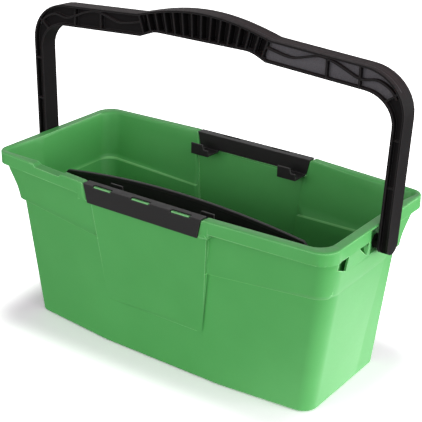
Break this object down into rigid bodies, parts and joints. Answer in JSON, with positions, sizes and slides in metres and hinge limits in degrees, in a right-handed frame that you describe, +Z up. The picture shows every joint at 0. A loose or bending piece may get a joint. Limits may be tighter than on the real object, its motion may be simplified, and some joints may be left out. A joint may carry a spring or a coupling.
{
  "type": "window cleaning bucket",
  "caption": "Long rectangular moulded bucket with pouring corners, swinging bail handle, clip-on tool holders with hooks on both long rims and a lift-out drain screen.",
  "frame": {"origin": "on the floor, under the middle of the tub", "axes": "+X along the long side, +Y to the rear, +Z up; the front clip is on the -Y side"},
  "size_m": [0.5732, 0.256, 0.4556],
  "materials": {
    "green_plastic": "satin moulded polypropylene",
    "black_plastic": "satin moulded polypropylene",
    "clip_plastic": "satin moulded polypropylene",
    "screen_plastic": "satin moulded polypropylene"
  },
  "bodies": {
    "bucket": {"tub": "green_plastic", "front_tool_clip": "clip_plastic", "rear_tool_clip": "clip_plastic"},
    "handle": {"bail_handle": "black_plastic"},
    "screen": {"drain_screen": "screen_plastic"}
  },
  "joints": [
    {"name": "handle_swing", "type": "hinge", "parent": "bucket", "child": "handle", "pos_m": [0, 0, 0.22], "axis": [1, 0, 0], "range_deg": [-97.8, 102.2]},
    {"name": "screen_lift", "type": "slide", "parent": "bucket", "child": "screen", "axis": [0, 0, 1], "range_m": [0, 0.245]}
  ]
}
